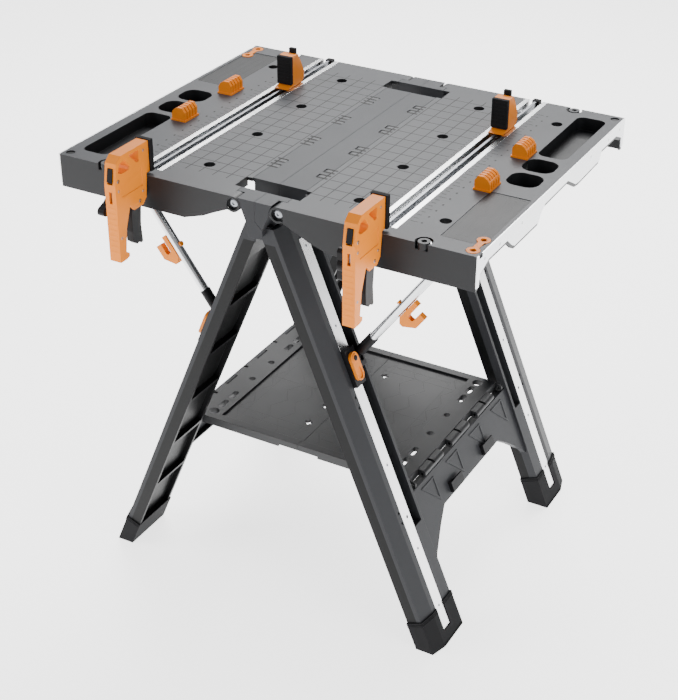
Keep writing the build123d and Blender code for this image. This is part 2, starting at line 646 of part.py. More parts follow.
def clamp_head(s):
    x0 = s * track_x - head_w
    x1 = s * track_x + head_w
    with BuildPart() as hd_:
        prism_x(arm_top, x0, x1)
        prism_x([(-336.0, 865.5), (-364.0, 865.5), (-343.0, 846.0), (-336.0, 846.0)], x0 - 5, x1 + 5,
                Mode.SUBTRACT, 1.5)
        prism_x([(-374.0, 862.0), (-388.0, 860.0), (-394.0, 846.0), (-385.0, 841.0), (-366.0, 841.0),
                 (-362.0, 846.0)], x0 - 5, x1 + 5, Mode.SUBTRACT, 1.5)
        # passage for the bar through the body
        xb = s * track_x
        box(xb - bar_t / 2 - 0.3, xb + bar_t / 2 + 0.3, -500, -300, H - bar_h - 0.3, H + 0.3, Mode.SUBTRACT)
        # seat of the release lever in the front edge
        box(xb - 5.2, xb + 5.2, -420, -392.0, 826.5, 853.5, Mode.SUBTRACT)
        # gap behind the handle for the trigger
        box(xb - 7.3, xb + 7.3, -379.5, -326.0, 700, 784.0, Mode.SUBTRACT)
        cyl_x(-340.0, 776.0, 2.5, x0 + 2, x1 - 2, Mode.SUBTRACT)
        cyl_x(knob_y, knob_z, 4.0 + run, xb - 30, xb - 7.0, Mode.SUBTRACT)
        cyl_x(-394.5, 831.0, 1.5, xb - 8, xb + 8, Mode.SUBTRACT)
        # shallow field in each side face of the body
        for xs in (x0 - 1.0, x1 - 0.8):
            prism_x([(-330.0, 832.0), (-388.0, 820.0), (-388.0, 800.0), (-330.0, 800.0)], xs, xs + 1.8,
                    Mode.SUBTRACT)
    return hd_.part


def near_pad(s):
    xb = s * track_x
    with BuildPart() as np_:
        box(xb - 15, xb + 15, -308.8, -301.0, 817.5, 873.5)
    return np_.part


def trigger(s):
    xb = s * track_x
    prof = [(-340.0, 781.0), (-350.0, 779.0), (-358.0, 768.0), (-360.0, 750.0), (-361.0, 726.0), (-359.0, 706.0),
            (-354.0, 703.0), (-350.0, 699.0), (-345.0, 701.0), (-339.0, 697.0), (-334.0, 698.0), (-337.0, 730.0),
            (-334.0, 758.0), (-332.0, 774.0)]
    with BuildPart() as tg:
        prism_x(prof, xb - 7.0, xb + 7.0)
        cyl_x(-340.0, 776.0, 2.5 - run, xb - 9, xb + 9)
    return tg.part


def release(s):
    xb = s * track_x
    with BuildPart() as rl:
        prism_x([(-393.0, 853.0), (-400.0, 853.0), (-404.5, 831.0), (-402.5, 829.5), (-393.0, 829.5)],
                xb - 4.9, xb + 4.9)
        cyl_x(-394.5, 831.0, 1.5 - run, xb - 7.8, xb + 7.8)
    return rl.part


def knob(s, flat):
    xb = s * track_x
    with BuildPart() as kb:
        cyl_x(knob_y, knob_z, 4.0, xb - 28, xb - 7.8)
        cyl_x(knob_y, knob_z, 12.0, xb - 32, xb - head_w - 0.4)
        with BuildSketch(Plane.YZ.offset(xb - 34)) as wg:
            with Locations((knob_y, knob_z)):
                SlotOverall(56.0, 15.0, rotation=flat)
        extrude(amount=13)
    return kb.part


jaw_y = 150.0
end_y = 318.6


def far_jaw(s):
    xb = s * track_x
    with BuildPart() as fj:
        prism_x([(jaw_y, 873.0), (jaw_y + 19, 873.0), (jaw_y + 30, 858.0), (jaw_y + 42, 834.0),
                 (jaw_y + 42, 822.0), (jaw_y + 34, 814.0), (jaw_y - 20, 814.0), (jaw_y - 8, 816.8),
                 (jaw_y, 819.4)], xb - 14.5, xb + 14.5)
        box(xb - 9.0, xb + 9.0, jaw_y + 2, jaw_y + 34, H - bar_h - 3.0, 815.0)
        box(xb - bar_t / 2, xb + bar_t / 2, jaw_y - 60, jaw_y + 80, H - bar_h, H, Mode.SUBTRACT)
    return fj.part


def bar(s):
    xb = s * track_x
    with BuildPart() as br:
        box(xb - bar_t / 2, xb + bar_t / 2, -398.0, end_y, H - bar_h, H)
        for xs in (xb - bar_t / 2 - 1, xb + bar_t / 2 - 0.5):
            box(xs, xs + 1.5, -396.0, end_y - 4, H - 13.0, H - 7.0, Mode.SUBTRACT)
    return br.part


def rubbers(s):
    xb = s * track_x
    with BuildPart() as rb:
        box(xb - 15, xb + 15, jaw_y - 7.5, jaw_y, 820.0, 873.5)
        prism_x([(jaw_y + 22, 869.0), (jaw_y + 29, 859.5), (jaw_y + 29, 881.0), (jaw_y + 22, 881.0)],
                xb - 6.5, xb + 6.5)
        box(xb - 7, xb + 7, end_y - 6, end_y + 6, H - bar_h - 3, H + 1.0)
        box(xb - bar_t / 2, xb + bar_t / 2, end_y - 20, end_y, H - bar_h, H, Mode.SUBTRACT)
    return rb.part


def dog(s, yh):
    xc = s * 299.0
    yc = yh - s * 2.0
    with BuildPart() as dg:
        box(xc - 15.5, xc + 15.5, yc - 22, yc + 22, H, H + 3.0)
        out = s
        prof = [(xc - out * 13.5, H + 2.5), (xc + out * 14.0, H + 2.5), (xc + out * 14.0, H + 13.0),
                (xc + out * 9.0, H + 21.0), (xc + out * 2.0, H + 25.0), (xc - out * 8.0, H + 25.0),
                (xc - out * 13.5, H + 17.0)]
        for k in range(5):
            y0 = yc - 20.5 + k * 8.75
            prism_y(prof, y0, y0 + 6.0)
        box(xc - 12.5, xc + 12.5, yc - 20, yc + 20, H + 2.0, H + 17.0)
        cyl_z(s * 297.0, yh, hole_r - 0.1, 794.0, H + 1)
    return dg.part


def link(s):
    with BuildPart() as lk:
        with BuildSketch(Plane.XY.offset(H - 2.9)) as sk:
            with Locations((s * 377.0, -s * 261.0), (s * 377.0, -s * 300.0)):
                Circle(11.0)
            with Locations((s * 377.0, -s * 280.5)):
                Rectangle(10.2, 39.0)
            with Locations((s * 377.0, -s * 261.0), (s * 377.0, -s * 300.0)):
                Circle(5.0, mode=Mode.SUBTRACT)
        extrude(amount=3.4)
    return lk.part


def save(solid, name):
    solid.label = name
    export_step(solid, "parts/" + name + ".step")


def mirrored(solid):
    with BuildPart() as mr:
        add(mirror(solid, about=Plane.YZ))
    return mr.part


save(mirrored(frame_body(True)), "leg_frame_left")
save(frame_body(False), "leg_frame_right")
save(mirrored(strips_body()), "leg_strips_left")
save(strips_body(), "leg_strips_right")
save(mirrored(shoes_body()), "shoes_left")
save(shoes_body(), "shoes_right")

with BuildPart() as pins_left:
    for sd in (-1, 1):
        cyl_y(0, pivot_z, pin_r, sd * 259, sd * 305)
        cyl_y(-hinge_x, hinge_z, pin_r + 1.0, sd * 281, sd * 312)
    cyl_y(-shelf_x, shelf_z, 3.0, -187.5, 187.5)
save(pins_left.part, "pins_left")
with BuildPart() as pins_right:
    for sd in (-1, 1):
        cyl_y(hinge_x, hinge_z, pin_r + 1.0, sd * 281, sd * 312)
save(pins_right.part, "pins_right")

for s, name in ((-1, "left"), (1, "right")):
    save(half_top(1.0) if s > 0 else mirrored(half_top(-1.0)), "half_top_" + name)
    save(edge_plate(s), "edge_plate_" + name)
    save(track(s), "track_" + name)
    save(shelf_half(s), "shelf_" + name)
    save(clamp_head(s), "clamp_head_" + name)
    save(near_pad(s), "clamp_pad_" + name)
    save(trigger(s), "trigger_" + name)
    save(release(s), "release_" + name)
    save(knob(s, 90.0 if s > 0 else 20.0), "knob_" + name)
    save(far_jaw(s), "jaw_" + name)
    save(bar(s), "bar_" + name)
    save(rubbers(s), "jaw_rubber_" + name)
    save(link(s), "link_" + name)
    for k, yh in enumerate(dog_y):
        save(dog(s, yh), "dog_" + name + ("_front" if k == 0 else "_back"))

with BuildPart() as mid_pin:
    cyl_y(0, shelf_mid_z, 1.5, -181, 141)
save(mid_pin.part, "shelf_mid_pin")

save(mirrored(clips(1)), "clips_left")
save(clips(1), "clips_right")

for sd, fb in ((-1, "front"), (1, "back")):
    for s, name in ((-1, "left"), (1, "right")):
        for make, label in ((strut_tube, "strut_"), (strut_ends, "strut_ends_"), (carriage, "carriage_"),
                            (lever, "lever_")):
            solid = make(sd)
            save(mirrored(solid) if s < 0 else solid, label + fb + "_" + name)
        if sd < 0:
            solid = hook(sd)
            save(mirrored(solid) if s < 0 else solid, "hook_" + name)
print("strut", strut_len, low_x, low_z, low_t, "shelf", shelf_n, shelf_t)
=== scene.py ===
import bpy
import json
from math import radians, cos, sin, pi
from mathutils import Vector, Matrix


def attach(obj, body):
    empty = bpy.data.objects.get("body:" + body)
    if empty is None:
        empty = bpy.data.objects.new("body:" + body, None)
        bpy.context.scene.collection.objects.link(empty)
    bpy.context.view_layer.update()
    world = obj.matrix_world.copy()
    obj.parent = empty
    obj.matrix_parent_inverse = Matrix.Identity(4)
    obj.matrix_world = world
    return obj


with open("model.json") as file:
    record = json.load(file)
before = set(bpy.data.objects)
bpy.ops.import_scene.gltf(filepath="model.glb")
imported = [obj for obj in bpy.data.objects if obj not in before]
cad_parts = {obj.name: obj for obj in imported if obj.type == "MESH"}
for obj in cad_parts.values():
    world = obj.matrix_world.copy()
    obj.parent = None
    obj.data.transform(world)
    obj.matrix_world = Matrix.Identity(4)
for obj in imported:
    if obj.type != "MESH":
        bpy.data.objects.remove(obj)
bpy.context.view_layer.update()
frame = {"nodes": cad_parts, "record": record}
nodes = frame["nodes"]
print("frame loaded:", len(nodes), "nodes")


# shader maths: one socket with its operators
class Wire:
    def __init__(self, finish, socket):
        self.finish = finish
        self.socket = socket

    def sum(self, operation, first, second=None):
        return self.finish.node("ShaderNodeMath", {"operation": operation}, first, second)[0]

    def __add__(self, other):
        return self.sum("ADD", self, other)

    def __radd__(self, other):
        return self.sum("ADD", other, self)

    def __sub__(self, other):
        return self.sum("SUBTRACT", self, other)

    def __rsub__(self, other):
        return self.sum("SUBTRACT", other, self)

    def __mul__(self, other):
        return self.sum("MULTIPLY", self, other)

    def __rmul__(self, other):
        return self.sum("MULTIPLY", other, self)

    def __gt__(self, other):
        return self.sum("GREATER_THAN", self, other)

    def __lt__(self, other):
        return self.sum("LESS_THAN", self, other)

    def __abs__(self):
        return self.sum("ABSOLUTE", self)

    # distance to the nearest multiple of pitch
    def fold(self, pitch):
        return self.sum("PINGPONG", self, pitch / 2)

    def between(self, low, high):
        return (self > low) * (self < high)

    def larger(self, other):
        return self.sum("MAXIMUM", self, other)


class Finish:
    def __init__(self, name):
        self.material = bpy.data.materials.new(name)
        self.material.use_nodes = True
        self.tree = self.material.node_tree
        self.shader = self.tree.nodes["Principled BSDF"]
        place = self.node("ShaderNodeTexCoord", {})
        self.place = place[3]
        parts = self.node("ShaderNodeSeparateXYZ", {}, self.place)
        self.x, self.y, self.z = parts[0], parts[1], parts[2]

    def node(self, kind, settings, *values, **named):
        made = self.tree.nodes.new(kind)
        for key, value in settings.items():
            setattr(made, key, value)
        for index, value in list(enumerate(values)) + list(named.items()):
            if value is None:
                continue
            target = made.inputs[index.replace("_", " ")] if isinstance(index, str) else made.inputs[index]
            if isinstance(value, Wire):
                self.tree.links.new(value.socket, target)
            else:
                target.default_value = value
        return [Wire(self, out) for out in made.outputs]

    def blendColour(self, factor, first, second):
        made = self.tree.nodes.new("ShaderNodeMix")
        made.data_type = "RGBA"
        for target, value in ((made.inputs[0], factor), (made.inputs[6], first), (made.inputs[7], second)):
            if isinstance(value, Wire):
                self.tree.links.new(value.socket, target)
            else:
                target.default_value = value
        return Wire(self, made.outputs[2])

    def noise(self, scale, detail=3.0, rough=0.55, where=None):
        return self.node("ShaderNodeTexNoise", {}, where or self.place, Scale=scale, Detail=detail,
                         Roughness=rough)[0]

    def stretched(self, scale, turn=(0, 0, 0)):
        turned = self.node("ShaderNodeMapping", {"vector_type": "POINT"}, self.place, None, turn)[0]
        return self.node("ShaderNodeVectorMath", {"operation": "MULTIPLY"}, turned, scale)[0]

    def softEdge(self, radius):
        return self.node("ShaderNodeBevel", {"samples": 4}, radius)[0]

    def bump(self, height, distance, strength=1.0, normal=None):
        return self.node("ShaderNodeBump", {}, Strength=strength, Distance=distance, Height=height,
                         Normal=normal)[0]

    def edgeMask(self, rounded, gain):
        flat = self.node("ShaderNodeNewGeometry", {})[1]
        dot = self.node("ShaderNodeVectorMath", {"operation": "DOT_PRODUCT"}, rounded, flat)[1]
        return self.sumClamp((1.0 - dot) * gain)

    def sumClamp(self, value):
        return self.node("ShaderNodeClamp", {}, value, 0.0, 1.0)[0]

    def link(self, **sockets):
        for name, value in sockets.items():
            target = self.shader.inputs[name.replace("_", " ")]
            if isinstance(value, Wire):
                self.tree.links.new(value.socket, target)
            else:
                target.default_value = value
        return self.material


def shade(colour, factor):
    return (min(colour[0] * factor, 1), min(colour[1] * factor, 1), min(colour[2] * factor, 1), 1.0)


# plastics: fine moulded grain, rounded edges paler with wear and a painted highlight, a little dust
def mouldedPlastic(name, colour, rough, grain=1500.0, edge=0.0008, depth=0.00012, pale=2.0, gloss=0.12,
                   paintedShade=None, marksAndLitTop=False):
    f = Finish(name)
    rounded = f.softEdge(edge)
    speck = f.noise(grain, 2.0, 0.6)
    cloud = f.noise(9.0, 4.0, 0.6)
    # edge wear mixed with a painted highlight: rounded edges are painted paler
    wearAndHighlight = f.edgeMask(rounded, 2.5) * (0.35 + 0.65 * f.noise(60.0, 3.0, 0.6))
    base = f.blendColour(cloud, shade(colour, 0.86), shade(colour, 1.14))
    base = f.blendColour(wearAndHighlight, base, shade(colour, pale))
    if marksAndLitTop:
        # painted light: faces above the table surface take the paler slate of the lit top
        litTop = f.blendColour(f.z > topMarks["surface"], base, litTopSlate)
        base = f.blendColour(fingerStrokes(f), litTop, (0.004, 0.004, 0.004, 1))
    # painted shade: the masked inner faces are darkened to a tenth of the colour
    if paintedShade:
        base = f.blendColour(paintedShade(f), base, shade(colour, 0.10))
    roughness = rough + 0.12 * (cloud - 0.5) + 0.08 * (speck - 0.5)
    return f.link(Base_Color=base, Roughness=roughness, Specular_IOR_Level=gloss,
                  Normal=f.bump(speck, depth, 0.55, rounded))


def brushedMetal(name, colour, rough, scale, turn=(0, 0, 0), edge=0.0005, metallic=1.0):
    f = Finish(name)
    rounded = f.softEdge(edge)
    lines = f.noise(1.0, 3.0, 0.6, f.stretched(scale, turn))
    cloud = f.noise(14.0, 3.0, 0.5)
    base = f.blendColour(lines, shade(colour, 0.9), shade(colour, 1.06))
    # painted highlight: rounded edges are painted a little brighter
    base = f.blendColour(f.edgeMask(rounded, 1.5), base, shade(colour, 1.1))
    return f.link(Base_Color=base, Metallic=metallic, Roughness=rough + 0.14 * (lines - 0.5) + 0.1 * (cloud - 0.5),
                  Normal=f.bump(lines, 0.00006, 0.35, rounded))


# top of the table: engraved grid, rulers and a plain ruled field
topMarks = {
    "surface": 0.8124, "gridPitch": 0.027, "gridStart": 0.0625, "gridEnd": 0.1925, "gridSide": 0.262,
    "rowPitch": 0.0305, "lineHalf": 0.0008, "rulerIn": 0.2475, "tickPitch": 0.0127, "tickHalf": 0.0007,
    "tickLong": 0.014, "tickShort": 0.008, "rulerSide": 0.255, "dashHalf": 0.0024, "dashIn": 0.2665,
    "dashOut": 0.2695, "dotRow": 0.1925, "dotHalf": 0.0011, "dotPitch": 0.0102, "dotSide": 0.285,
}
wingField = {
    "outer": ((0.3155, 0.3815), (-0.2765, -0.0965)), "inner": ((0.3180, 0.3790), (-0.2740, -0.0990)),
    "bars": ((0.3250, 0.3720), (-0.262, -0.111)), "barCentre": 0.3485, "barPitch": 0.0150, "barHalf": 0.0035,
    "floor": 0.8115,
}
fingers = {
    "centre": 0.055, "pitch": 0.110, "inner": (0.0035, 0.0085), "outer": (0.0155, 0.0205),
    "across": (0.0380, 0.0585), "spine": (0.0505, 0.0535), "side": 0.215,
}


def tableTop(name, colour, wing):
    m = topMarks
    w = wingField
    f = Finish(name)
    rounded = f.softEdge(0.0008)
    speck = f.noise(1500.0, 2.0, 0.6)
    cloud = f.noise(8.0, 4.0, 0.6)
    x = abs(f.x)
    y = f.y
    up = f.z > m["surface"]
    # grid between the seam and the clamp track
    columns = (x - m["gridStart"]).fold(m["gridPitch"]) < m["lineHalf"]
    rows = y.fold(m["rowPitch"]) < m["lineHalf"]
    field = x.between(m["gridStart"] - 0.001, m["gridEnd"] + 0.002) * (abs(y) < m["gridSide"])
    grid = columns.larger(rows) * field
    # fine row of dots beside the track
    dots = (x - m["dotRow"]).fold(0.2) < m["dotHalf"]
    dots = dots * (y.fold(m["dotPitch"]) < m["dotHalf"]) * (abs(y) < m["dotSide"])
    # ruler on the wing
    ticks = (y.fold(m["tickPitch"]) < m["tickHalf"]) * x.between(m["rulerIn"], m["rulerIn"] + m["tickShort"])
    longTicks = (y.fold(m["tickPitch"] * 4) < m["tickHalf"]) * x.between(m["rulerIn"], m["rulerIn"] + m["tickLong"])
    dashes = (y.fold(m["tickPitch"] * 2) < m["dashHalf"]) * x.between(m["dashIn"], m["dashOut"])
    ruler = ticks.larger(longTicks).larger(dashes) * (abs(y) < m["rulerSide"])
    # plain ruled field sunk in the wing
    outer, inner, inBars = [
        x.between(*w[key][0]) * (wing * y).between(*w[key][1]) for key in ("outer", "inner", "bars")
    ]
    rim = outer * (1.0 - inner)
    bars = ((x - w["barCentre"]).fold(w["barPitch"]) < w["barHalf"]) * inBars
    marks = f.sumClamp((grid + dots + ruler + fingerStrokes(f)) * up)
    raised = f.sumClamp(rim + bars) * (f.z > w["floor"])
    # edge wear mixed with a painted highlight: rounded edges are painted paler
    wearAndHighlight = f.edgeMask(rounded, 2.5) * (0.35 + 0.65 * f.noise(60.0, 3.0, 0.6))
    scuffs = f.noise(1.0, 4.0, 0.7, f.stretched((18.0, 140.0, 18.0), (0, 0, 0.4)))
    scuffs = f.sumClamp((scuffs - 0.62) * 5.0) * up
    base = f.blendColour(cloud, shade(colour, 0.88), shade(colour, 1.12))
    # painted light: the upward top face is the paler slate and the sides the darker charcoal, a lit top and shaded
    # sides of one plastic
    base = f.blendColour(up, f.blendColour(cloud, shade(charcoal, 0.86), shade(charcoal, 1.14)), base)
    base = f.blendColour(wearAndHighlight, base, shade(colour, 1.5))
    base = f.blendColour(scuffs * 0.22, base, shade(colour, 1.6))
    base = f.blendColour(marks, base, shade(colour, 0.08))
    height = speck * 0.12 - marks * 4.0 + raised * 3.0
    roughness = 0.42 + 0.14 * (cloud - 0.5) + 0.12 * marks - 0.06 * scuffs
    return f.link(Base_Color=base, Roughness=roughness, Specular_IOR_Level=0.22,
                  Normal=f.bump(height, 0.0003, 0.8, rounded))


# thick strokes where the fingers of the top reach into the frame
def fingerStrokes(f):
    g = fingers
    x = abs(f.x)
    step = (abs(f.y) - g["centre"]).fold(g["pitch"])
    bars = step.between(*g["inner"]).larger(step.between(*g["outer"])) * x.between(*g["across"])
    spine = x.between(*g["spine"]) * (step < g["outer"][1])
    return bars.larger(spine) * (f.z > topMarks["surface"]) * (abs(f.y) < g["side"])


# shelf: lines, a row of hexes and a frame on the sunk floor
shelfMarks = {
    "floor": (0.2630, 0.2645), "lanePitch": 0.1280, "laneHalf": 0.0010, "hexHalf": 0.0011, "centre": 0.088,
    "ringOut": (0.062, 0.150), "ringIn": (0.0605, 0.1485), "side": 0.165, "across": (0.012, 0.168),
}


def shelfFloor(name, colour):
    f = Finish(name)
    rounded = f.softEdge(0.0008)
    speck = f.noise(1500.0, 2.0, 0.6)
    cloud = f.noise(10.0, 4.0, 0.6)
    x = abs(f.x)
    y = f.y
    m = shelfMarks
    floor = f.z.between(*m["floor"])
    lanes = y.fold(m["lanePitch"]) < m["laneHalf"]
    hexes = abs((x - 0.045).fold(0.09) + y.fold(0.064) * 0.58 - 0.036) < m["hexHalf"]
    outer, inner = [(abs(x - m["centre"]) < m[key][0]) * (abs(y) < m[key][1]) for key in ("ringOut", "ringIn")]
    ring = outer * (1.0 - inner)
    marks = f.sumClamp((lanes + hexes + ring) * floor * (abs(y) < m["side"]) * x.between(*m["across"]))
    # edge wear mixed with a painted highlight: rounded edges are painted paler
    wearAndHighlight = f.edgeMask(rounded, 2.5) * (0.35 + 0.65 * f.noise(60.0, 3.0, 0.6))
    base = f.blendColour(cloud, shade(colour, 0.86), shade(colour, 1.14))
    base = f.blendColour(wearAndHighlight, base, shade(colour, 2.1))
    base = f.blendColour(marks, base, shade(colour, 0.5))
    return f.link(Base_Color=base, Roughness=0.48 + 0.14 * (cloud - 0.5), Specular_IOR_Level=0.45,
                  Normal=f.bump(speck * 0.12 - marks * 4.0, 0.0003, 0.8, rounded))


sides = {"left": -1.0, "right": 1.0}
ends = {"front": -1.0, "back": 1.0}
lean = radians(22.5)
pivot = 0.752
charcoal = (0.012, 0.0125, 0.014)
# paler grey painted on the upward faces as light falling on the top
litTopSlate = (0.064, 0.067, 0.073, 1.0)
orange = (0.78, 0.215, 0.006)
finishes = {
    "frame_plastic": mouldedPlastic("framePlastic", charcoal, 0.46),
    "black_plastic": mouldedPlastic("blackPlastic", (0.008, 0.008, 0.009), 0.36, 1800.0, 0.0005, 0.00008, 3.0),
    "orange_plastic": mouldedPlastic("orangePlastic", orange, 0.42, 2200.0, 0.0009, 0.00007, 1.15, 0.22),
    "rubber_black": mouldedPlastic("rubber", (0.010, 0.010, 0.011), 0.72, 900.0, 0.0012, 0.0002, 2.4),
    "aluminium_plate": brushedMetal("edgePlate", (0.80, 0.81, 0.82), 0.30, (900.0, 14.0, 900.0)),
    "aluminium_strip": brushedMetal("trackMetal", (0.90, 0.905, 0.91), 0.24, (1500.0, 12.0, 1500.0)),
    "steel_bar": brushedMetal("barSteel", (0.26, 0.27, 0.29), 0.30, (1600.0, 16.0, 1600.0)),
    "steel_tube": brushedMetal("tubeSteel", (0.74, 0.75, 0.77), 0.20, (700.0, 700.0, 700.0)),
}
own = {}


# the inner faces of a leg lie behind a plane along the leg, and below the heads; they get painted shade, darkened
# almost to black
innerPlane = 0.0215
underHead = 0.735


def shadedInnerSide(wing):
    return lambda f: (f.x * (wing * cos(lean)) + (f.z - pivot) * sin(lean) < innerPlane) * (f.z < underHead)


for side, wing in (("left", -1.0), ("right", 1.0)):
    own["half_top_" + side] = tableTop("tableTop" + side.capitalize(), litTopSlate, wing)
    own["leg_frame_" + side] = mouldedPlastic("legPlastic" + side.capitalize(), (0.026, 0.027, 0.030), 0.44,
                                              gloss=0.16, paintedShade=shadedInnerSide(wing), marksAndLitTop=True)
    own["leg_strips_" + side] = brushedMetal("legStrip" + side.capitalize(), (0.90, 0.905, 0.91), 0.26,
                                             (1500.0, 1500.0, 14.0), (0, wing * radians(-22.5), 0))
shelfLook = shelfFloor("shelfFloor", charcoal)
for side in ("left", "right"):
    own["shelf_" + side] = shelfLook
for entry in frame["record"]["subparts"]:
    name = entry["node"]
    look = own.get(name) or finishes[entry["material_slot"]]
    obj = nodes[name]
    obj.data.materials.clear()
    obj.data.materials.append(look)
print("finishes on", len(nodes), "nodes")


# modelling helpers
def freshStart():
    if bpy.context.object and bpy.context.object.mode != "OBJECT":
        bpy.ops.object.mode_set(mode="OBJECT")
    bpy.ops.object.select_all(action="DESELECT")


def finishPiece(obj, name, body, look, bevel=0.0, segments=2):
    if bevel:
        mod = obj.modifiers.new("edges", "BEVEL")
        mod.width = bevel
        mod.segments = segments
        mod.limit_method = "ANGLE"
        mod.angle_limit = radians(35)
        bpy.context.view_layer.objects.active = obj
        bpy.ops.object.modifier_apply(modifier=mod.name)
    freshStart()
    obj.select_set(True)
    bpy.context.view_layer.objects.active = obj
    bpy.ops.object.transform_apply(location=True, rotation=True, scale=True)
    bpy.ops.object.shade_smooth_by_angle(angle=radians(35))
    obj.name = name
    obj.data.name = name
    obj.data.materials.clear()
    obj.data.materials.append(look)
    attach(obj, body)
    return obj


def pickFaces(obj, test):
    bpy.ops.object.mode_set(mode="EDIT")
    bpy.ops.mesh.select_mode(type="FACE")
    bpy.ops.mesh.select_all(action="DESELECT")
    bpy.ops.object.mode_set(mode="OBJECT")
    for face in obj.data.polygons:
        face.select = bool(test(face))
    bpy.ops.object.mode_set(mode="EDIT")


# one screw, modelled once and copied
screw = {"head": 0.0036, "rise": 0.0014, "recess": 0.0017, "sink": 0.0008}


def modelScrew():
    freshStart()
    bpy.ops.mesh.primitive_cylinder_add(vertices=24, radius=screw["head"], depth=screw["rise"],
                                        location=(0, 0, screw["rise"] / 2))
    obj = bpy.context.object
    pickFaces(obj, lambda face: face.normal.z > 0.9)
    bpy.ops.mesh.inset(thickness=screw["head"] * 0.22)
    bpy.ops.transform.translate(value=(0, 0, screw["rise"] * 0.4))
    bpy.ops.mesh.inset(thickness=screw["head"] * 0.30)
    bpy.ops.mesh.inset(thickness=screw["recess"] * 0.10)
    bpy.ops.transform.translate(value=(0, 0, -screw["sink"]))
    bpy.ops.object.mode_set(mode="OBJECT")
    return obj


screwMaster = modelScrew()


def placeScrew(name, place, normal, body, size=1.0, look="steel_bar"):
    obj = screwMaster.copy()
    obj.data = screwMaster.data.copy()
    bpy.context.collection.objects.link(obj)
    obj.scale = (size, size, size)
    obj.rotation_euler = Vector(normal).to_track_quat("Z", "Y").to_euler()
    obj.location = place
    return finishPiece(obj, name, body, finishes[look])


def onLeg(n, t, sign):
    return (sign * (cos(lean) * n - sin(lean) * t), pivot + sin(lean) * n + cos(lean) * t)


for side, sign in sides.items():
    top = "top_" + side
    # screws in the end plate of the top
    for k, y in enumerate((-0.292, -0.236, -0.150, 0.150, 0.236, 0.292)):
        placeScrew("plateScrew_%s_%d" % (side, k), (sign * 0.3926, y, 0.800), (sign, 0, 0), top, 0.8)
    # screws in the two track flanges
    for k, y in enumerate((-0.278, -0.100, 0.100, 0.304)):
        for j, dx in enumerate((-0.0172, 0.0172)):
            placeScrew("trackScrew_%s_%d_%d" % (side, k, j), (sign * 0.2206 + dx, y, 0.8122), (0, 0, 1), top, 0.62)
    # screws that close the clamp head
    for k, (y, z) in enumerate(((-0.3230, 0.8600), (-0.3950, 0.8140), (-0.3950, 0.7300), (-0.3300, 0.7900))):
        placeScrew("headScrew_%s_%d" % (side, k), (sign * 0.2206 + 0.0106, y, z), (1, 0, 0), "clamp_" + side, 0.7)
        placeScrew("headScrewIn_%s_%d" % (side, k), (sign * 0.2206 - 0.0106, y, z), (-1, 0, 0), "clamp_" + side, 0.7)
    # screws of the leg strips
    for end, way in ends.items():
        for k, t in enumerate((-0.052, -0.200, -0.470, -0.640, -0.760)):
            x, z = onLeg(0.0379, t, sign)
            placeScrew("stripScrew_%s_%s_%d" % (side, end, k), (x, way * 0.2482, z),
                       (sign * cos(lean), 0, sin(lean)), "leg_" + side, 0.7)
print("screws placed")

# grip ribs down the clamp handles
grip = {"count": 9, "start": 0.7834, "pitch": 0.0098, "depth": 0.0016, "height": 0.0046, "halfWidth": 0.0085}
for side, sign in sides.items():
    for k in range(grip["count"]):
        z = grip["start"] - k * grip["pitch"]
        freshStart()
        bpy.ops.mesh.primitive_cube_add(size=1, location=(sign * 0.2206, -0.4030 + 0.0006, z),
                                        scale=(2 * grip["halfWidth"], grip["depth"], grip["height"]))
        obj = bpy.context.object
        bpy.ops.object.transform_apply(location=False, rotation=False, scale=True)
        pickFaces(obj, lambda face: face.normal.y < -0.9)
        bpy.ops.mesh.inset(thickness=0.0007)
        bpy.ops.object.mode_set(mode="OBJECT")
        finishPiece(obj, "gripRib_%s_%d" % (side, k), "clamp_" + side,
                    finishes["orange_plastic"], 0.0005)
print("grip ribs placed")

# domed caps with a small round recess on the hinge pins and pivots
cap = {"radius": 0.0080, "rise": 0.0022, "dome": 0.6, "sink": 0.0015}


def modelCap():
    freshStart()
    bpy.ops.mesh.primitive_cylinder_add(vertices=36, radius=cap["radius"], depth=cap["rise"],
                                        location=(0, 0, cap["rise"] / 2))
    obj = bpy.context.object
    pickFaces(obj, lambda face: face.normal.z > 0.9)
    bpy.ops.mesh.inset(thickness=cap["radius"] * 0.18)
    bpy.ops.transform.translate(value=(0, 0, cap["rise"] * cap["dome"] * 0.6))
    bpy.ops.mesh.inset(thickness=cap["radius"] * 0.22)
    bpy.ops.transform.translate(value=(0, 0, cap["rise"] * cap["dome"] * 0.2))
    bpy.ops.mesh.inset(thickness=cap["radius"] * 0.24)
    bpy.ops.mesh.inset(thickness=0.0003)
    bpy.ops.transform.translate(value=(0, 0, -cap["sink"]))
    bpy.ops.object.mode_set(mode="OBJECT")
    return obj


capMaster = modelCap()


def placeCap(name, place, normal, body, size, look):
    obj = capMaster.copy()
    obj.data = capMaster.data.copy()
    bpy.context.collection.objects.link(obj)
    obj.scale = (size, size, size)
    obj.rotation_euler = Vector(normal).to_track_quat("Z", "Y").to_euler()
    obj.location = place
    return finishPiece(obj, name, body, finishes[look])


